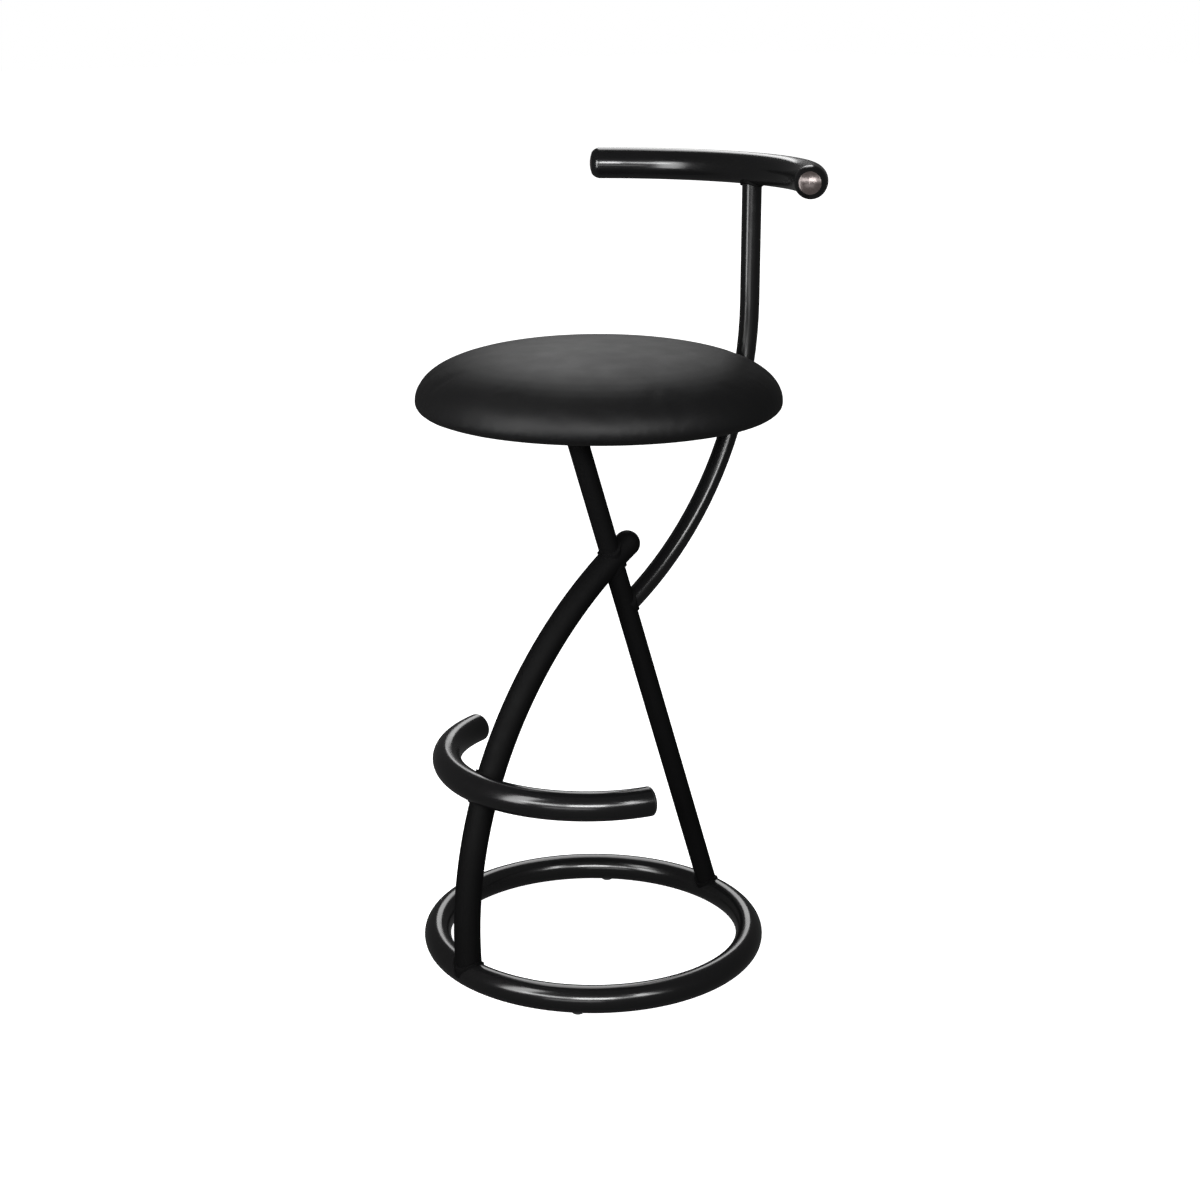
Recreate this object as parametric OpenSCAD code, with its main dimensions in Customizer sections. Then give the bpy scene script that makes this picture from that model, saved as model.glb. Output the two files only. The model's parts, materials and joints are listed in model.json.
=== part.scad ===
// Bar stool with a footrest, all welded round tube, with one round upholstered seat.
// Heights are above the floor. Y is measured from the centre of the base ring until
// on_ring() moves each piece to the part's own origin, under the middle of the whole stool.
// +Z is up, the back of the stool is +Y, and +X is to the left of the person sitting on it.

/* [Base ring] */
// Radius of the ring's centre line
ring_r = 195; // [180:1:215]
// Outside diameter of the ring's tube
ring_d = 33; // [30:0.5:36]
// How far the floor glides hold the ring off the floor
glide_h = 1; // [1:0.5:3]
// Number of floor glides
glide_count = 4; // [3:1:6]

/* [Legs] */
// Outside diameter of the curved front leg
front_leg_d = 32; // [28:0.5:32]
// Bend radius of the front leg's centre line
front_leg_r = 521; // [510:1:545]
// Distance of the front leg's foot in front of the ring's centre
front_foot_y = 193.5; // [190:0.5:200]
// Forward lean of the front leg at its foot, in degrees
front_foot_lean = 5.1; // [2:0.1:7]
// Angle from upright at which the front leg's tube ends in its dome, in degrees
front_leg_end = 58.5; // [57.5:0.5:61]
// Outside diameter of the straight rear leg
rear_leg_d = 25.4; // [22:0.1:28]
// Distance of the rear leg's foot behind the ring's centre
rear_foot_y = 196.5; // [193:0.5:198]
// Lean of the rear leg towards the seat, in degrees
rear_leg_lean = 19.35; // [18.5:0.05:21]
// Wall thickness of every tube
tube_t = 2; // [1.5:0.1:2.5]

/* [Back] */
// Outside diameter of the post that carries the backrest
post_d = 24; // [20:0.5:25]
// Distance of the upright stretch of the post behind the ring's centre
post_y = 250.5; // [249:0.5:262]
// Bend radius of the post's centre line
post_bend_r = 415; // [400:1:430]
// Height at which the post's bend runs out into its upright stretch
post_bend_z = 783.5; // [770:0.5:790]
// Outside diameter of the backrest tube
backrest_d = 38; // [32:0.5:42]
// Height of the backrest tube's centre line
backrest_z = 943.5; // [900:0.5:1000]
// Bend radius of the backrest tube's centre line
backrest_r = 240; // [232:1:255]
// Half of the angle that the backrest tube spans, in degrees
backrest_half = 50; // [46:0.5:60]
// Diameter of the metal button in each end of the backrest
button_d = 25.6; // [20:0.1:26]

/* [Footrest] */
// Outside diameter of the footrest tube
footrest_d = 35; // [32:0.5:36]
// Height of the footrest tube's centre line
footrest_z = 251.5; // [240:0.5:265]
// Bend radius of the footrest tube's centre line
footrest_r = 171; // [169:0.5:175]
// Distance of the footrest's bend centre in front of the ring's centre
footrest_y = 10; // [8:0.5:13]
// Half of the angle that the footrest tube spans, in degrees
footrest_half = 75; // [60:0.5:85]

/* [Seat] */
// Radius of the upholstered seat at its rim
seat_r = 216; // [212:0.5:217]
// Distance of the seat's centre behind the ring's centre
seat_y = 9; // [7:0.5:9]
// Height of the rim, where the seat is widest
seat_rim_z = 686.5; // [680:0.5:695]
// Height of the crown above the rim
seat_crown = 68.5; // [50:0.5:75]
// Squareness of the crown's curve, where 2 is an ellipse
crown_power = 2.38; // [2:0.02:2.8]
// Depth below the rim at which the underside's curve would close
seat_under = 21; // [20:0.5:24]
// Squareness of the underside's curve
under_power = 2.52; // [2.4:0.02:3]
// Radius of the plywood board inside the seat
board_r = 186; // [175:1:188]
// Thickness of the plywood board
board_t = 15; // [12:1:18]
// Thickness of the vinyl cover
cover_t = 1.2; // [0.8:0.1:1.6]

/* [Hidden] */
$fn = 96;

LEFT = 1;
RIGHT = -1;
REAR = 1;
FRONT = -1;

// How far the weld at the front foot stands proud of the ring, once it is dressed off
bead_proud = 0.75;

// The stool's reach in front of and behind the ring's centre, which sets the origin
front_reach = ring_r + ring_d / 2 + bead_proud;
rear_reach = post_y + backrest_d / 2;
origin_y = (rear_reach - front_reach) / 2;

ring_z = glide_h + ring_d / 2;
backrest_y = post_y - backrest_r;

// Centre of the front leg's bend, as [y, z]
front_bend = [
    -front_foot_y + front_leg_r * cos(front_foot_lean),
    ring_z + front_leg_r * sin(front_foot_lean)
];

// Centre of the post's bend, and the angle below level at which its axis meets the rear leg's
post_bend = [post_y - post_bend_r, post_bend_z];
post_gap = rear_foot_y - post_bend[0] - tan(rear_leg_lean) * (post_bend_z - ring_z);
post_end = acos(post_gap * cos(rear_leg_lean) / post_bend_r) - rear_leg_lean;

// Seat: layers from the board's underside outwards
cover_turn_in = 20;
dust_cover_t = 0.8;
staple_t = 0.6;
board_z = seat_rim_z - 11.5;
plate_t = 4;
plate_top = board_z - dust_cover_t;
plate_z = plate_top - plate_t;
plate_size = [130, 190];
plate_corner = 15;
screw_span = [100, 155];
screw_d = 6;
screw_head_d = 11;
screw_head_h = 3.2;
washer_d = 13;
washer_t = 1;
tee_barrel_d = 8;
tee_flange_d = 19;
tee_flange_t = 1.5;
tee_barrel_h = 12;
staple_count = 28;
staple_size = [11, 1.2];
QUARTER_STEPS = 24;

// Height at which the rear leg's axis meets the plate, and where along Y that is
leg_top_y = rear_foot_y - tan(rear_leg_lean) * (plate_z - ring_z);
rear_leg_len = (plate_z - ring_z) / cos(rear_leg_lean) + 20;

weld = 2.5;
glide_edge = 0.5;
glide_d = 14;
glide_pad_rise = 2;
glide_stem_d = 6;
glide_stem_top = 12;
cap_plug_len = 14;
plug_root = 1;
backrest_cap_len = 13.5;
footrest_cap_len = 4;
footrest_cap_round = 3;
button_rise = 2.4;
button_t = 2.2;
button_stem_d = 6;
button_stem_len = 6;

BLACK_PAINT = [0.03, 0.03, 0.032];
BLACK_VINYL = [0.05, 0.05, 0.052];
BLACK_PLASTIC = [0.04, 0.04, 0.04];
NICKEL = [0.62, 0.58, 0.54];
STEEL = [0.6, 0.61, 0.62];
PLYWOOD = [0.76, 0.6, 0.42];
FOAM = [0.9, 0.87, 0.72];

// ---- placing ----

// From the ring's centre to the part's origin
module on_ring() {
    translate([0, -origin_y, 0]) children();
}

// Stands a shape drawn in X and Y up in the plane of symmetry, as Y and Z
module in_side_plane(centre) {
    translate([0, centre[0], centre[1]]) rotate([90, 0, 90]) children();
}

// The same with its Y turned down
module hung_in_side_plane(centre) {
    translate([0, centre[0], centre[1]]) rotate([-90, 0, 90]) children();
}

// Solid round bar bent to an arc in the XY plane
module bent_bar(r, d, from, to) {
    rotate([0, 0, from]) rotate_extrude(angle = to - from) translate([r, 0]) circle(d = d);
}

// Puts +Z along the outward end of a level arc: bow is REAR or FRONT, side LEFT or RIGHT
module at_arc_end(r, y, z, half, bow, side) {
    turn = atan2(-bow * sin(half), side * cos(half));
    translate([side * r * sin(half), y + bow * r * cos(half), z])
        rotate([0, 0, turn]) rotate([0, 90, 0]) children();
}

// Plug that follows the bend inside a tube's end and runs plug_root into the cap's body
module end_plug(r, d, y, z, half, bow, side) {
    end = 180 - 90 * bow - side * bow * half;
    inner = end + side * bow * cap_plug_len / r * 180 / PI;
    root = end - side * bow * plug_root / r * 180 / PI;
    translate([0, y, z]) bent_bar(r, d - 2 * tube_t, min(inner, root), max(inner, root));
}

// ---- solid cores of the tubes, which shape each other's ends; grow is added all round ----

module ring_core(grow = 0) {
    translate([0, 0, ring_z]) rotate_extrude() translate([ring_r, 0]) circle(d = ring_d + 2 * grow);
}

module front_leg_core(grow = 0) {
    in_side_plane(front_bend)
        bent_bar(front_leg_r, front_leg_d + 2 * grow, 180 - front_leg_end, 180 + front_foot_lean);
}

module rear_leg_core(grow = 0) {
    translate([0, rear_foot_y, ring_z]) rotate([rear_leg_lean, 0, 0])
        cylinder(d = rear_leg_d + 2 * grow, h = rear_leg_len);
}

module back_post_core(grow = 0) {
    hung_in_side_plane(post_bend) bent_bar(post_bend_r, post_d + 2 * grow, 0, post_end);
    translate([0, post_y, post_bend_z])
        cylinder(d = post_d + 2 * grow, h = backrest_z - post_bend_z);
}

module backrest_core(grow = 0) {
    translate([0, backrest_y, backrest_z])
        bent_bar(backrest_r, backrest_d + 2 * grow, 90 - backrest_half, 90 + backrest_half);
}

module footrest_core(grow = 0) {
    translate([0, -footrest_y, footrest_z])
        bent_bar(footrest_r, footrest_d + 2 * grow, 270 - footrest_half, 270 + footrest_half);
}

// ---- base ----

module each_glide() {
    for (i = [0 : glide_count - 1])
        rotate([0, 0, 360 * (i + 0.5) / glide_count]) translate([ring_r, 0, 0]) children();
}

module base_ring() {
    on_ring() color(BLACK_PAINT) difference() {
        ring_core();
        ring_core(-tube_t);
        each_glide() cylinder(d = glide_stem_d, h = ring_z);
    }
}

// Nylon pads that hug the tube from below, each held by a stem in a drilled hole
module floor_glides() {
    on_ring() color(BLACK_PLASTIC) {
        difference() {
            each_glide() {
                cylinder(d1 = glide_d - 1, d2 = glide_d, h = glide_edge);
                translate([0, 0, glide_edge])
                    cylinder(d = glide_d, h = glide_h + glide_pad_rise - glide_edge);
            }
            ring_core();
        }
        each_glide() translate([0, 0, glide_edge])
            cylinder(d = glide_stem_d, h = glide_stem_top - glide_edge);
    }
}

// ---- legs ----

module front_leg() {
    on_ring() color(BLACK_PAINT) difference() {
        front_leg_core();
        front_leg_core(-tube_t);
        ring_core();
        rear_leg_core();
    }
}

// Domed end of the front leg: a half-round shell butted to the tube
module front_leg_cap() {
    on_ring() color(BLACK_PAINT) in_side_plane(front_bend)
        rotate([0, 0, 180 - front_leg_end]) translate([front_leg_r, 0, 0]) rotate([90, 0, 0])
            rotate_extrude() difference() {
                intersection() {
                    circle(d = front_leg_d);
                    square(front_leg_d);
                }
                circle(d = front_leg_d - 2 * tube_t);
            }
}

module rear_leg() {
    on_ring() color(BLACK_PAINT) difference() {
        rear_leg_core();
        rear_leg_core(-tube_t);
        ring_core();
        above_plate();
    }
}

// Everything above the underside of the seat plate
module above_plate() {
    translate([-100, leg_top_y - 100, plate_z]) cube([200, 200, 60]);
}

// ---- back ----

module back_post() {
    on_ring() color(BLACK_PAINT) difference() {
        back_post_core();
        back_post_core(-tube_t);
        rear_leg_core();
        backrest_core();
    }
}

module backrest_tube() {
    on_ring() color(BLACK_PAINT) difference() {
        backrest_core();
        backrest_core(-tube_t);
    }
}

// Rounded end piece with a recess for the button, +Z outwards from the tube's end
module backrest_cap(side) {
    round_r = backrest_cap_len;
    seat_z = round_r - button_rise - button_t;
    on_ring() color(BLACK_PAINT) difference() {
        union() {
            at_arc_end(backrest_r, backrest_y, backrest_z, backrest_half, REAR, side)
                rotate_extrude() {
                    translate([backrest_d / 2 - round_r, 0]) intersection() {
                        circle(r = round_r);
                        square(round_r);
                    }
                    square([backrest_d / 2 - round_r, round_r]);
                }
            end_plug(backrest_r, backrest_d, backrest_y, backrest_z, backrest_half, REAR, side);
        }
        at_arc_end(backrest_r, backrest_y, backrest_z, backrest_half, REAR, side) {
            translate([0, 0, seat_z]) cylinder(d = button_d, h = round_r);
            translate([0, 0, seat_z - button_stem_len])
                cylinder(d = button_stem_d, h = button_stem_len + 1);
        }
    }
}

// Convex metal button with a short stem
module backrest_button(side) {
    seat_z = backrest_cap_len - button_rise - button_t;
    dome_r = (pow(button_d / 2, 2) + pow(button_rise, 2)) / (2 * button_rise);
    on_ring() color(NICKEL)
        at_arc_end(backrest_r, backrest_y, backrest_z, backrest_half, REAR, side)
            translate([0, 0, seat_z]) {
                intersection() {
                    cylinder(d = button_d, h = button_t + button_rise);
                    translate([0, 0, button_t + button_rise - dome_r]) sphere(r = dome_r);
                }
                translate([0, 0, -button_stem_len])
                    cylinder(d = button_stem_d, h = button_stem_len + 1);
            }
}

module backrest_cap_left() { backrest_cap(LEFT); }
module backrest_cap_right() { backrest_cap(RIGHT); }
module backrest_button_left() { backrest_button(LEFT); }
module backrest_button_right() { backrest_button(RIGHT); }

// ---- footrest ----

// The footrest is notched to hug the front of the front leg
module footrest_tube() {
    on_ring() color(BLACK_PAINT) difference() {
        footrest_core();
        footrest_core(-tube_t);
        front_leg_core();
    }
}

// Flat plug with a softened edge, +Z outwards from the tube's end
module footrest_cap(side) {
    flat_r = footrest_d / 2 - footrest_cap_round;
    on_ring() color(BLACK_PLASTIC) {
        at_arc_end(footrest_r, -footrest_y, footrest_z, footrest_half, FRONT, side)
            rotate_extrude() {
                square([flat_r, footrest_cap_len]);
                square([footrest_d / 2, footrest_cap_len - footrest_cap_round]);
                translate([flat_r, footrest_cap_len - footrest_cap_round]) intersection() {
                    circle(r = footrest_cap_round);
                    square(footrest_cap_round);
                }
            }
        end_plug(footrest_r, footrest_d, -footrest_y, footrest_z, footrest_half, FRONT, side);
    }
}

module footrest_cap_left() { footrest_cap(LEFT); }
module footrest_cap_right() { footrest_cap(RIGHT); }

// ---- seat fixing ----

module each_screw() {
    for (x = [-0.5, 0.5], y = [-0.5, 0.5])
        translate([x * screw_span[0], seat_y + y * screw_span[1], 0]) children();
}

module seat_plate() {
    inner = [plate_size[0] / 2 - plate_corner, plate_size[1] / 2 - plate_corner];
    on_ring() color(BLACK_PAINT) difference() {
        translate([0, seat_y, plate_z]) linear_extrude(plate_t) union() {
            square([plate_size[0], 2 * inner[1]], center = true);
            square([2 * inner[0], plate_size[1]], center = true);
            for (x = [-1, 1], y = [-1, 1])
                translate([x * inner[0], y * inner[1]]) circle(r = plate_corner);
        }
        each_screw() translate([0, 0, plate_z - 1]) cylinder(d = screw_d, h = plate_t + 2);
    }
}

// Button-head screws driven up through the plate into the tee nuts
module seat_screws() {
    on_ring() color(STEEL) each_screw() translate([0, 0, plate_z - washer_t]) {
        translate([0, 0, -screw_head_h]) difference() {
            cylinder(d1 = screw_head_d - 3, d2 = screw_head_d, h = screw_head_h);
            translate([0, 0, -1]) cylinder(d = 4, h = 3, $fn = 6);
        }
        cylinder(d = screw_d, h = plate_top + tee_barrel_h + washer_t - plate_z);
    }
}

module seat_washers() {
    on_ring() color(STEEL) each_screw() translate([0, 0, plate_z - washer_t]) difference() {
        cylinder(d = washer_d, h = washer_t);
        translate([0, 0, -1]) cylinder(d = screw_d, h = washer_t + 2);
    }
}

// Barrel in the board, flange on the board's top face under the foam
module tee_nuts() {
    on_ring() color(STEEL) each_screw() difference() {
        union() {
            translate([0, 0, board_z + board_t - tee_barrel_h])
                cylinder(d = tee_barrel_d, h = tee_barrel_h);
            translate([0, 0, board_z + board_t]) cylinder(d = tee_flange_d, h = tee_flange_t);
        }
        translate([0, 0, board_z]) cylinder(d = screw_d, h = board_t + tee_flange_t + 1);
    }
}

// ---- seat ----

// Half outline of the upholstered shape, shrunk by inset, from the crown down to floor_z
function crown_points(inset) = [
    for (i = [0 : QUARTER_STEPS]) let (a = 90 - 90 * i / QUARTER_STEPS) [
        (seat_r - inset) * pow(cos(a), 2 / crown_power),
        seat_rim_z + (seat_crown - inset) * pow(sin(a), 2 / crown_power)
    ]
];

function under_radius(drop, inset) =
    (seat_r - inset) * pow(1 - pow(drop / (seat_under - inset), under_power), 1 / under_power);

function under_points(inset, depth) = [
    for (i = [1 : QUARTER_STEPS]) let (drop = depth * pow(i / QUARTER_STEPS, 0.6))
        [under_radius(drop, inset), seat_rim_z - drop]
];

// The cover rolls under the rim and its flat turn-in lies against the board
module cover_outside() {
    depth = seat_rim_z - board_z + cover_t;
    rotate_extrude() polygon(concat(
        crown_points(0), under_points(0, depth), [[0, seat_rim_z - depth]]
    ));
}

module cover_inside() {
    depth = seat_rim_z - board_z;
    rotate_extrude() polygon(concat(
        crown_points(cover_t), under_points(cover_t, depth), [[0, seat_rim_z - depth]]
    ));
}

module seat_cover() {
    on_ring() color(BLACK_VINYL) translate([0, seat_y, 0]) difference() {
        cover_outside();
        cover_inside();
        translate([0, 0, board_z - cover_t - 1])
            cylinder(r = board_r - cover_turn_in, h = cover_t + 2);
    }
}

module board_blank() {
    translate([0, 0, board_z]) cylinder(r = board_r, h = board_t);
}

module seat_board() {
    on_ring() color(PLYWOOD) difference() {
        translate([0, seat_y, 0]) board_blank();
        each_screw() {
            translate([0, 0, board_z - 1]) cylinder(d = screw_d, h = board_t + 2);
            translate([0, 0, board_z + board_t - tee_barrel_h])
                cylinder(d = tee_barrel_d, h = board_t);
        }
    }
}

module seat_foam() {
    on_ring() color(FOAM) difference() {
        translate([0, seat_y, 0]) difference() {
            cover_inside();
            board_blank();
        }
        each_screw() translate([0, 0, board_z + board_t - 1])
            cylinder(d = tee_flange_d, h = tee_flange_t + 1);
    }
}

// Thin black cloth under the board, its edge lapping over the cover's turn-in
module seat_dust_cover() {
    inner_r = board_r - cover_turn_in - 4;
    outer_r = board_r - 8;
    on_ring() color(BLACK_PLASTIC) difference() {
        translate([0, seat_y, board_z]) rotate_extrude() polygon([
            [0, 0],
            [inner_r, 0],
            [inner_r + 4, -cover_t],
            [outer_r, -cover_t],
            [outer_r, -cover_t - dust_cover_t],
            [inner_r + 3, -cover_t - dust_cover_t],
            [inner_r - 1, -dust_cover_t],
            [0, -dust_cover_t]
        ]);
        each_screw() translate([0, 0, board_z - dust_cover_t - 1])
            cylinder(d = screw_d, h = dust_cover_t + 2);
    }
}

module cover_staples() {
    r = board_r - 13;
    top = board_z - cover_t - dust_cover_t;
    on_ring() color(STEEL) translate([0, seat_y, top - staple_t])
        for (i = [0 : staple_count - 1])
            rotate([0, 0, 360 * (i + 0.5) / staple_count]) translate([r, 0, staple_t / 2])
                cube([staple_size[1], staple_size[0], staple_t], center = true);
}

// ---- weld beads: the space within weld of both tubes, outside both ----

module weld_front_foot() {
    on_ring() color(BLACK_PAINT) difference() {
        intersection() {
            front_leg_core(weld);
            ring_core(weld);
            translate([-100, -front_reach, 0]) cube([200, 200, 200]);
        }
        front_leg_core();
        ring_core();
    }
}

module weld_rear_foot() {
    on_ring() color(BLACK_PAINT) difference() {
        intersection() {
            rear_leg_core(weld);
            ring_core(weld);
        }
        rear_leg_core();
        ring_core();
    }
}

module weld_crossing() {
    on_ring() color(BLACK_PAINT) difference() {
        intersection() {
            rear_leg_core(weld);
            front_leg_core(weld);
        }
        rear_leg_core();
        front_leg_core();
    }
}

module weld_footrest() {
    on_ring() color(BLACK_PAINT) difference() {
        intersection() {
            front_leg_core(weld);
            footrest_core(weld);
        }
        front_leg_core();
        footrest_core();
    }
}

module weld_post_foot() {
    on_ring() color(BLACK_PAINT) difference() {
        intersection() {
            back_post_core(weld);
            rear_leg_core(weld);
        }
        back_post_core();
        rear_leg_core();
    }
}

module weld_backrest() {
    on_ring() color(BLACK_PAINT) difference() {
        intersection() {
            back_post_core(weld);
            backrest_core(weld);
        }
        back_post_core();
        backrest_core();
    }
}

module weld_seat_plate() {
    on_ring() color(BLACK_PAINT) difference() {
        intersection() {
            rear_leg_core(weld);
            translate([-100, leg_top_y - 100, plate_z - weld]) cube([200, 200, weld]);
        }
        rear_leg_core();
    }
}

base_ring();
floor_glides();
front_leg();
front_leg_cap();
rear_leg();
back_post();
backrest_tube();
backrest_cap_left();
backrest_cap_right();
backrest_button_left();
backrest_button_right();
footrest_tube();
footrest_cap_left();
footrest_cap_right();
seat_plate();
seat_screws();
seat_washers();
tee_nuts();
seat_board();
seat_foam();
seat_cover();
seat_dust_cover();
cover_staples();
weld_front_foot();
weld_rear_foot();
weld_crossing();
weld_footrest();
weld_post_foot();
weld_backrest();
weld_seat_plate();
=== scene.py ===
"""Bar stool with a footrest: the looks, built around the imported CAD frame. Metres throughout."""

import json
import math

import bmesh
import bpy
from mathutils import Euler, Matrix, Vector


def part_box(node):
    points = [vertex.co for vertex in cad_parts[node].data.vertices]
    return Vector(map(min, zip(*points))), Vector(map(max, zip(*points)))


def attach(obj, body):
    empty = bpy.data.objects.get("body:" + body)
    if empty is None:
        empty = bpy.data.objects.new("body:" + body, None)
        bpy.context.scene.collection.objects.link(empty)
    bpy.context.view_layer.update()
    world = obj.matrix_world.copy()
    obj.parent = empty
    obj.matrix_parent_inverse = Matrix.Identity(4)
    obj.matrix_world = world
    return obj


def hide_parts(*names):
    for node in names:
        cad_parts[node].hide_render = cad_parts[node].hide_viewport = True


# ---- camera ----
CAMERA_AZIMUTH = 50.388  # degrees round the stool from its front
CAMERA_DISTANCE = 2.4239  # from the ring's axis, along the floor
CAMERA_HEIGHT = 1.1452
CAMERA_PITCH = 16.079  # degrees down
CAMERA_YAW = 0.195  # degrees to the right of the ring's axis
CAMERA_LENS = 63.0
SENSOR_WIDTH = 36.0

# ---- seat cushion ----
CROWN_POWER = 2.38  # squareness of the crown, where 2 is an ellipse
UNDER_POWER = 2.52
UNDER_REACH = 0.0208  # depth at which the underside's curve would close
UNDER_SPACING = 0.6  # below 1 sets the underside's points closer together near its end
RIM_ABOVE_BOARD = 0.0115  # from the board's underside up to the widest part
CROWN_STEPS = 26
UNDER_STEPS = 8
SEGMENTS = 144  # round the seat
CROWN_START = 0.0015  # how much lower the crown starts, as it rises when it swells
RIM_START = 0.0015  # how much wider the rim starts, as the cover's pull narrows it
VOXEL = 0.005
SWELL_CAP = 0.002  # the furthest that a point may move as it swells
CUSHION_PRESSURE = 4.0
CUSHION_FRAMES = 20
SMOOTHING_FACTOR = 0.5
SMOOTHING_ROUNDS = 4
TURN_IN = 0.0195  # width of the vinyl's flat turn-in under the board's edge
TUCK = 0.002  # how far inside the board the cushion's unseen middle stays
STAPLED_ABOVE_TUCK = 0.001  # what is below this height over the tuck doesn't move

# ---- floor ----
FLOOR_SIZE = 60
FLOOR_SQUARES = 8
FLOOR_DROP = 0.0005  # keeps the floor clear of the glides' undersides

# ---- noise ----
NOISE_LOW = 0.3  # the part of the noise's range that a ramp uses
NOISE_HIGH = 0.7


# ---- node materials ----

def new_material(name):
    """An empty node material and its Principled shader."""
    material = bpy.data.materials.new(name)
    material.use_nodes = True
    return material, material.node_tree.nodes["Principled BSDF"]


def add_node(material, kind, **settings):
    node = material.node_tree.nodes.new(kind)
    for key, value in settings.items():
        setattr(node, key, value)
    return node


def link(material, source, target):
    material.node_tree.links.new(source, target)


def object_coordinates(material):
    return add_node(material, "ShaderNodeTexCoord").outputs["Object"]


def noise(material, scale, detail=2.0, roughness=0.5, stretch=None):
    """Noise in object space, scale in features per metre, stretched by the given factors."""
    node = add_node(material, "ShaderNodeTexNoise")
    node.inputs["Scale"].default_value = scale
    node.inputs["Detail"].default_value = detail
    node.inputs["Roughness"].default_value = roughness
    place = object_coordinates(material)
    if stretch:
        mapping = add_node(material, "ShaderNodeMapping")
        mapping.inputs["Scale"].default_value = stretch
        link(material, place, mapping.inputs["Vector"])
        place = mapping.outputs["Vector"]
    link(material, place, node.inputs["Vector"])
    return node.outputs["Fac"]


def ramp(material, factor, low, high):
    """Noise mapped to the range low to high."""
    node = add_node(material, "ShaderNodeMapRange")
    node.inputs["From Min"].default_value = NOISE_LOW
    node.inputs["From Max"].default_value = NOISE_HIGH
    node.inputs["To Min"].default_value = low
    node.inputs["To Max"].default_value = high
    link(material, factor, node.inputs["Value"])
    return node.outputs["Result"]


def colour_mix(material, factor, first, second):
    """first where factor is 0 and second where it is 1, by the Mix node's colour sockets."""
    node = add_node(material, "ShaderNodeMix", data_type="RGBA")
    link(material, factor, node.inputs[0])
    node.inputs[6].default_value = (*first, 1)
    node.inputs[7].default_value = (*second, 1)
    return node.outputs[2]


def bump(material, shader, height, distance, strength=1.0):
    node = add_node(material, "ShaderNodeBump")
    node.inputs["Distance"].default_value = distance
    node.inputs["Strength"].default_value = strength
    link(material, height, node.inputs["Height"])
    link(material, node.outputs["Normal"], shader.inputs["Normal"])


def black_lacquer(name, smoothest, roughest):
    """Baked-on gloss enamel: faint orange peel and a slightly uneven gloss."""
    material, shader = new_material(name)
    cloud = noise(material, 14, 3)
    link(material, colour_mix(material, cloud, (0.0035, 0.0035, 0.0037), (0.0050, 0.0050, 0.0052)),
         shader.inputs["Base Color"])
    link(material, ramp(material, noise(material, 60, 4), smoothest, roughest),
         shader.inputs["Roughness"])
    bump(material, shader, noise(material, 420, 2), 0.00001, 0.2)
    return material


def black_satin():
    """The legs' duller enamel: dark and even, with hardly any reflection."""
    material, shader = new_material("black_satin")
    cloud = noise(material, 18, 3)
    link(material, colour_mix(material, cloud, (0.0021, 0.0021, 0.0022), (0.0028, 0.0028, 0.0029)),
         shader.inputs["Base Color"])
    link(material, ramp(material, noise(material, 70, 4), 0.60, 0.68), shader.inputs["Roughness"])
    shader.inputs["Specular IOR Level"].default_value = 0.05
    bump(material, shader, noise(material, 600, 2), 0.00003, 0.3)
    return material


def black_vinyl():
    """Upholstery vinyl: satin, with a fine pebbled grain."""
    material, shader = new_material("black_vinyl")
    cloud = noise(material, 9, 3)
    link(material, colour_mix(material, cloud, (0.0034, 0.0034, 0.0036), (0.0042, 0.0042, 0.0044)),
         shader.inputs["Base Color"])
    link(material, ramp(material, noise(material, 35, 4), 0.51, 0.55), shader.inputs["Roughness"])
    shader.inputs["Specular IOR Level"].default_value = 0.19
    cells = add_node(material, "ShaderNodeTexVoronoi", feature="SMOOTH_F1")
    cells.inputs["Scale"].default_value = 900
    cells.inputs["Smoothness"].default_value = 0.6
    link(material, object_coordinates(material), cells.inputs["Vector"])
    bump(material, shader, cells.outputs["Distance"], 0.00008, 0.25)
    return material


def moulded_plastic(name, base, roughness):
    material, shader = new_material(name)
    cloud = noise(material, 30, 3)
    lighter = tuple(c * 1.35 for c in base)
    link(material, colour_mix(material, cloud, base, lighter), shader.inputs["Base Color"])
    link(material, ramp(material, noise(material, 150, 3), roughness - 0.04, roughness + 0.04),
         shader.inputs["Roughness"])
    bump(material, shader, noise(material, 1600, 2), 0.00003, 0.4)
    return material


def smoked_nickel():
    """Dark brownish nickel under a clear lacquer, with fine polishing haze."""
    material, shader = new_material("smoked_nickel")
    shader.inputs["Metallic"].default_value = 0.5
    cloud = noise(material, 90, 3)
    link(material, colour_mix(material, cloud, (0.062, 0.050, 0.048), (0.078, 0.064, 0.061)),
         shader.inputs["Base Color"])
    link(material, ramp(material, noise(material, 300, 4), 0.17, 0.25), shader.inputs["Roughness"])
    bump(material, shader, noise(material, 2500, 2), 0.00001, 0.3)
    return material


def zinc_steel():
    material, shader = new_material("zinc_steel")
    shader.inputs["Metallic"].default_value = 1.0
    cloud = noise(material, 200, 4)
    link(material, colour_mix(material, cloud, (0.50, 0.51, 0.53), (0.66, 0.67, 0.68)),
         shader.inputs["Base Color"])
    link(material, ramp(material, noise(material, 500, 3), 0.28, 0.42), shader.inputs["Roughness"])
    return material


def plywood():
    """Birch plies seen on the edge and long grain on the faces."""
    material, shader = new_material("plywood")
    grain = noise(material, 40, 5, 0.6, (0.4, 6.0, 1.0))
    link(material, colour_mix(material, grain, (0.38, 0.25, 0.13), (0.62, 0.46, 0.28)),
         shader.inputs["Base Color"])
    shader.inputs["Roughness"].default_value = 0.6
    bump(material, shader, grain, 0.0002, 0.4)
    return material


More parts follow.
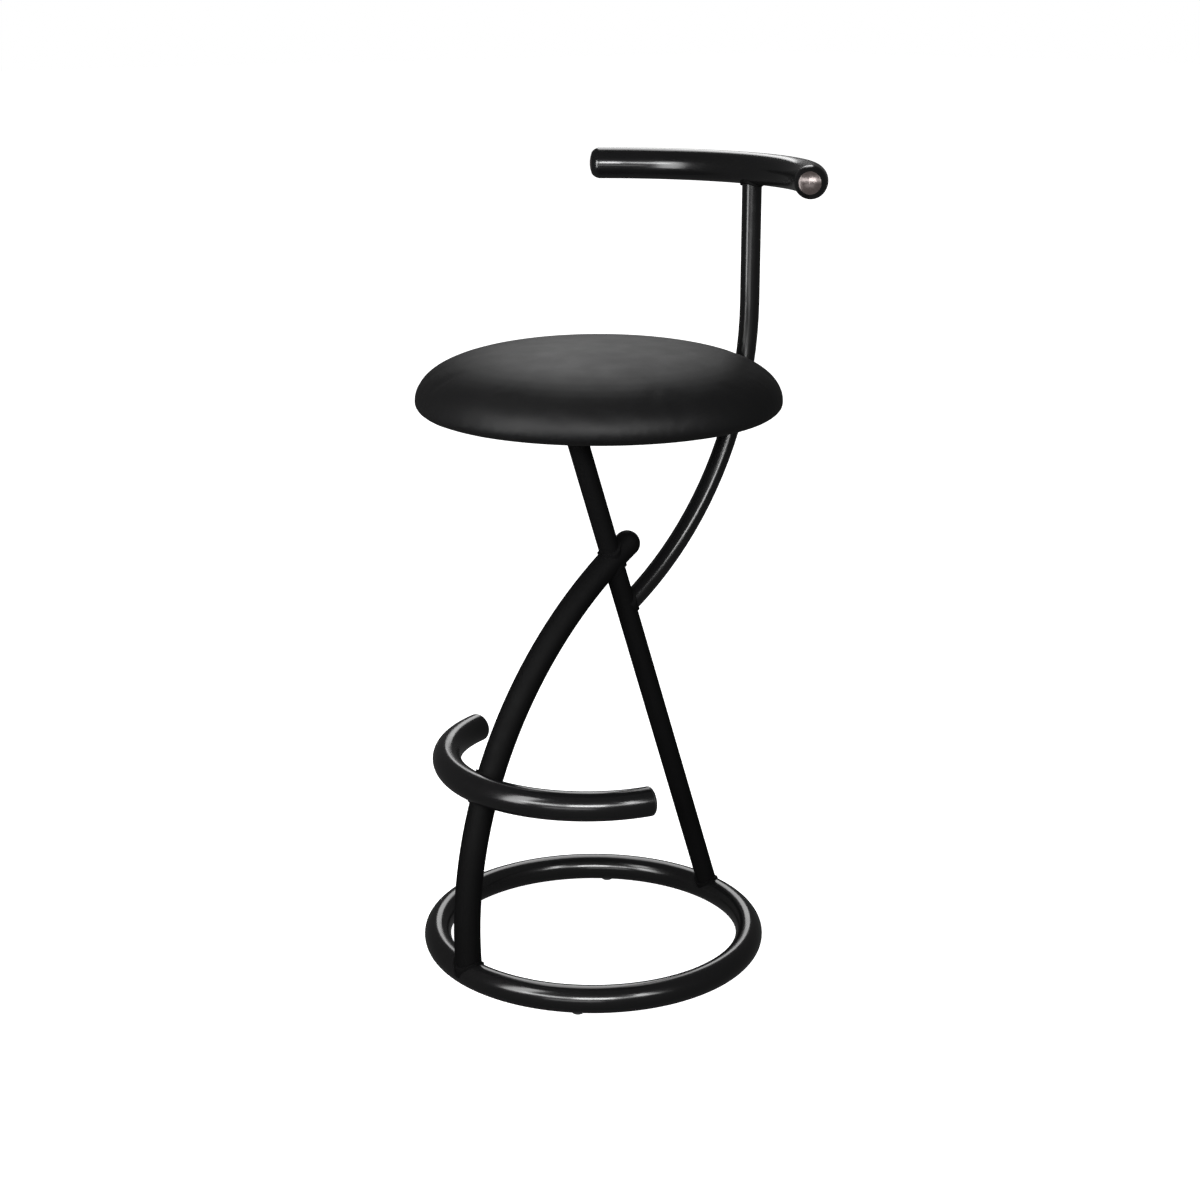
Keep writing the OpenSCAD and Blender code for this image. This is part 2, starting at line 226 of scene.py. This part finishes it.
def dust_cloth():
    """Black spun-bonded cloth."""
    material, shader = new_material("dust_cloth")
    fibres = noise(material, 2200, 5, 0.7)
    link(material, colour_mix(material, fibres, (0.010, 0.010, 0.011), (0.030, 0.030, 0.032)),
         shader.inputs["Base Color"])
    shader.inputs["Roughness"].default_value = 0.9
    bump(material, shader, fibres, 0.0001, 0.6)
    return material


def soft_foam():
    material, shader = new_material("soft_foam")
    pores = noise(material, 1500, 4)
    link(material, colour_mix(material, pores, (0.70, 0.62, 0.38), (0.82, 0.76, 0.52)),
         shader.inputs["Base Color"])
    shader.inputs["Roughness"].default_value = 0.95
    return material


def slot_materials():
    return {
        "black_paint": black_lacquer("black_lacquer", 0.17, 0.20),
        "black_satin": black_satin(),
        "black_vinyl": black_vinyl(),
        "black_plastic": moulded_plastic("black_plastic", (0.008, 0.008, 0.0085), 0.32),
        "glide_nylon": moulded_plastic("glide_nylon", (0.016, 0.016, 0.017), 0.55),
        "nickel": smoked_nickel(),
        "zinc_steel": zinc_steel(),
        "plywood": plywood(),
        "foam": soft_foam(),
        "dust_cloth": dust_cloth(),
    }


def paint(obj, material):
    obj.data.materials.clear()
    obj.data.materials.append(material)


# ---- seat cushion ----

def cushion_profile(reach, rim_z, crown, base_z, turn_in_r):
    """Half outline as (radius, height), from the crown down and in under the board's edge."""
    outline = []
    for i in range(CROWN_STEPS + 1):
        a = math.pi / 2 * (1 - i / CROWN_STEPS)
        outline.append((reach * math.cos(a) ** (2 / CROWN_POWER),
                        rim_z + crown * math.sin(a) ** (2 / CROWN_POWER)))
    depth = rim_z - base_z
    for i in range(1, UNDER_STEPS + 1):
        drop = depth * (i / UNDER_STEPS) ** UNDER_SPACING
        share = 1 - (drop / UNDER_REACH) ** UNDER_POWER
        outline.append((reach * share ** (1 / UNDER_POWER), rim_z - drop))
    flat = outline[-1][0]
    outline += [(flat + (turn_in_r - flat) * t, base_z) for t in (0.33, 0.66, 1.0)]
    return outline


def revolve(name, outline, around):
    """A closed mesh of revolution.

    The outline's first point may be on the axis, and its last ring is filled.
    """
    mesh = bmesh.new()
    rings = []
    for r, z in outline:
        if r < 1e-6:
            rings.append([mesh.verts.new((around.x, around.y, z))])
            continue
        rings.append([
            mesh.verts.new((around.x + r * math.cos(a), around.y + r * math.sin(a), z))
            for a in (2 * math.pi * k / SEGMENTS for k in range(SEGMENTS))
        ])
    for upper, lower in zip(rings, rings[1:]):
        for k in range(SEGMENTS):
            following = (k + 1) % SEGMENTS
            if len(upper) == 1:
                mesh.faces.new((upper[0], lower[k], lower[following]))
            else:
                mesh.faces.new((upper[k], lower[k], lower[following], upper[following]))
    mesh.faces.new(list(reversed(rings[-1])))
    bmesh.ops.recalc_face_normals(mesh, faces=mesh.faces)
    data = bpy.data.meshes.new(name)
    mesh.to_mesh(data)
    mesh.free()
    obj = bpy.data.objects.new(name, data)
    bpy.context.scene.collection.objects.link(obj)
    return obj


def apply_modifiers(obj):
    """Replaces the object's mesh by what its modifiers give."""
    depsgraph = bpy.context.evaluated_depsgraph_get()
    made = bpy.data.meshes.new_from_object(obj.evaluated_get(depsgraph))
    obj.modifiers.clear()
    obj.data = made


def inflate(obj, fixed_below):
    """Swells the cover by cloth pressure. The stapled underside stays put."""
    remesh = obj.modifiers.new("remesh", "REMESH")
    remesh.mode = "VOXEL"
    remesh.voxel_size = VOXEL
    apply_modifiers(obj)
    before = [v.co.copy() for v in obj.data.vertices]
    stapled = obj.vertex_groups.new(name="stapled")
    stapled.add([v.index for v in obj.data.vertices if v.co.z < fixed_below], 1.0, "REPLACE")
    cloth = obj.modifiers.new("cloth", "CLOTH")
    cloth.settings.use_pressure = True
    cloth.settings.uniform_pressure_force = CUSHION_PRESSURE
    cloth.settings.vertex_group_mass = "stapled"
    cloth.settings.effector_weights.gravity = 0
    cloth.point_cache.frame_start = 1
    cloth.point_cache.frame_end = CUSHION_FRAMES
    for frame_number in range(1, CUSHION_FRAMES + 1):
        bpy.context.scene.frame_set(frame_number)
    apply_modifiers(obj)
    bpy.context.scene.frame_set(1)
    for vertex, start in zip(obj.data.vertices, before):
        moved = vertex.co - start
        if moved.length > SWELL_CAP:
            vertex.co = start + moved * (SWELL_CAP / moved.length)


def smooth(obj):
    """Takes out the remesh's steps."""
    modifier = obj.modifiers.new("smooth", "SMOOTH")
    modifier.factor = SMOOTHING_FACTOR
    modifier.iterations = SMOOTHING_ROUNDS
    apply_modifiers(obj)


def tuck_in(obj, around, turn_in_r, inner_z, outer_z):
    """Keeps the underside level with the turn-in, and the part further in inside the board."""
    for vertex in obj.data.vertices:
        r = math.hypot(vertex.co.x - around.x, vertex.co.y - around.y)
        vertex.co.z = max(vertex.co.z, inner_z if r < turn_in_r else outer_z)


def seat_cushion(materials):
    """Foam dome under one piece of vinyl, pulled round the board's edge and stapled beneath."""
    low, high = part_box("seat_cover")
    board_low, board_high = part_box("seat_board")
    around = (low + high) / 2
    radius = (high.x - low.x) / 2
    rim_z = board_low.z + RIM_ABOVE_BOARD
    turn_in_r = (board_high.x - board_low.x) / 2 - TURN_IN
    crown = high.z - rim_z - CROWN_START
    outline = cushion_profile(radius + RIM_START, rim_z, crown, low.z, turn_in_r)
    inner_z = board_low.z + TUCK
    outline.append((turn_in_r, inner_z))
    cushion = revolve("seat_cushion", outline, around)
    inflate(cushion, inner_z + STAPLED_ABOVE_TUCK)
    smooth(cushion)
    subdivision = cushion.modifiers.new("subdivision", "SUBSURF")
    subdivision.levels = subdivision.render_levels = 1
    apply_modifiers(cushion)
    tuck_in(cushion, around, turn_in_r, inner_z, low.z)
    for polygon in cushion.data.polygons:
        polygon.use_smooth = True
    paint(cushion, materials["black_vinyl"])
    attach(cushion, "root")
    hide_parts("seat_cover", "seat_foam")


# ---- studio ----

def towards_camera(azimuth_from_camera):
    """Unit direction along the floor from the ring's axis, turned to the right of the camera."""
    a = math.radians(CAMERA_AZIMUTH + azimuth_from_camera)
    return Vector((math.sin(a), -math.cos(a), 0))


def make_camera(ring_centre):
    data = bpy.data.cameras.new("camera")
    data.lens = CAMERA_LENS
    data.sensor_width = SENSOR_WIDTH
    camera = bpy.data.objects.new("camera", data)
    bpy.context.scene.collection.objects.link(camera)
    camera.location = ring_centre + towards_camera(0) * CAMERA_DISTANCE
    camera.location.z = CAMERA_HEIGHT
    camera.rotation_euler = Euler((math.radians(90 - CAMERA_PITCH), 0,
                                   math.radians(CAMERA_AZIMUTH - CAMERA_YAW)))
    bpy.context.scene.camera = camera


def softbox(name, azimuth, distance, height, aim_height, size, radiance, ring_centre):
    """Rectangular light of the given radiance, at an azimuth to the right of the camera."""
    data = bpy.data.lights.new(name, "AREA")
    data.shape = "RECTANGLE"
    data.size, data.size_y = size
    data.energy = radiance * math.pi * size[0] * size[1]
    light = bpy.data.objects.new(name, data)
    bpy.context.scene.collection.objects.link(light)
    light.location = ring_centre + towards_camera(azimuth) * distance
    light.location.z = height
    aim = Vector((ring_centre.x, ring_centre.y, aim_height))
    light.rotation_euler = (aim - light.location).to_track_quat("-Z", "Y").to_euler()
    light.visible_camera = False


def make_lights(ring_centre):
    """Softboxes round the camera, one close on the left, and a dim one far behind."""
    # name, azimuth, distance, height, aim height, (width, height), radiance
    boxes = (
        ("key_centre", 0, 2.6, 1.30, 0.6, (1.3, 0.50), 28),
        ("key_left", -32, 2.6, 1.27, 0.6, (1.3, 0.48), 13),
        ("key_right", 30, 2.6, 1.27, 0.6, (1.2, 0.42), 7),
        ("low_fill", -12, 2.6, 0.32, 0.5, (1.6, 0.40), 3),
        ("hot_left", -49, 0.97, 0.80, 0.6, (0.30, 1.00), 9),
        ("strip_right", 33, 2.6, 1.72, 0.6, (0.40, 0.80), 16),
        ("back", 180, 8.0, 7.2, 0.3, (3.4, 8.4), 3.4),
    )
    for name, azimuth, distance, height, aim, size, radiance in boxes:
        softbox(name, azimuth, distance, height, aim, size, radiance, ring_centre)


def make_floor():
    """Plain pale floor that runs out to the horizon and doesn't show in the gloss."""
    mesh = bmesh.new()
    bmesh.ops.create_grid(mesh, x_segments=FLOOR_SQUARES, y_segments=FLOOR_SQUARES,
                          size=FLOOR_SIZE / 2)
    data = bpy.data.meshes.new("floor")
    mesh.to_mesh(data)
    mesh.free()
    floor = bpy.data.objects.new("floor", data)
    bpy.context.scene.collection.objects.link(floor)
    floor.location.z = -FLOOR_DROP
    material, shader = new_material("pale_floor")
    shader.inputs["Base Color"].default_value = (0.8, 0.8, 0.8, 1)
    shader.inputs["Roughness"].default_value = 0.9
    shader.inputs["Specular IOR Level"].default_value = 0.0
    shader.inputs["Emission Color"].default_value = (1, 1, 1, 1)
    shader.inputs["Emission Strength"].default_value = 1.0
    paint(floor, material)
    floor.visible_glossy = False
    floor.visible_diffuse = False


def make_world():
    """White to the camera, dim grey to everything that reflects."""
    world = bpy.data.worlds.new("studio")
    bpy.context.scene.world = world
    world.use_nodes = True
    nodes, links = world.node_tree.nodes, world.node_tree.links
    dim = nodes["Background"]
    dim.inputs["Color"].default_value = (1, 1, 1, 1)
    dim.inputs["Strength"].default_value = 0.08
    seen = nodes.new("ShaderNodeBackground")
    seen.inputs["Color"].default_value = (1, 1, 1, 1)
    seen.inputs["Strength"].default_value = 1.0
    path = nodes.new("ShaderNodeLightPath")
    choose = nodes.new("ShaderNodeMixShader")
    links.new(path.outputs["Is Camera Ray"], choose.inputs[0])
    links.new(dim.outputs[0], choose.inputs[1])
    links.new(seen.outputs[0], choose.inputs[2])
    links.new(choose.outputs[0], nodes["World Output"].inputs["Surface"])


# ---- the scene ----

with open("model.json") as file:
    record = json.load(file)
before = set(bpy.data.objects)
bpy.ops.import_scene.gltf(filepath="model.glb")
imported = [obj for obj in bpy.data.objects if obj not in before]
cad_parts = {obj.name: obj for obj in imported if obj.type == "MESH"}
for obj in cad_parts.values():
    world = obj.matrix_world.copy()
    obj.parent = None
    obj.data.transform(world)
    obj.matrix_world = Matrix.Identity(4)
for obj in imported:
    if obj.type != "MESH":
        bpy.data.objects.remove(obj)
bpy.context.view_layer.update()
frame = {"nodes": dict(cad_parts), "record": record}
materials = slot_materials()
for row in frame["record"]["subparts"]:
    node, slot = row["node"], row["material_slot"]
    # Paint dries dull on a weld's rough bead
    paint(frame["nodes"][node], materials["black_satin" if node.startswith("weld_") else slot])

ring_low, ring_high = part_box("base_ring")
ring_centre = (ring_low + ring_high) / 2

make_camera(ring_centre)
make_world()
make_floor()
make_lights(ring_centre)
seat_cushion(materials)
bpy.context.scene.view_settings.view_transform = "Standard"

bpy.context.view_layer.update()
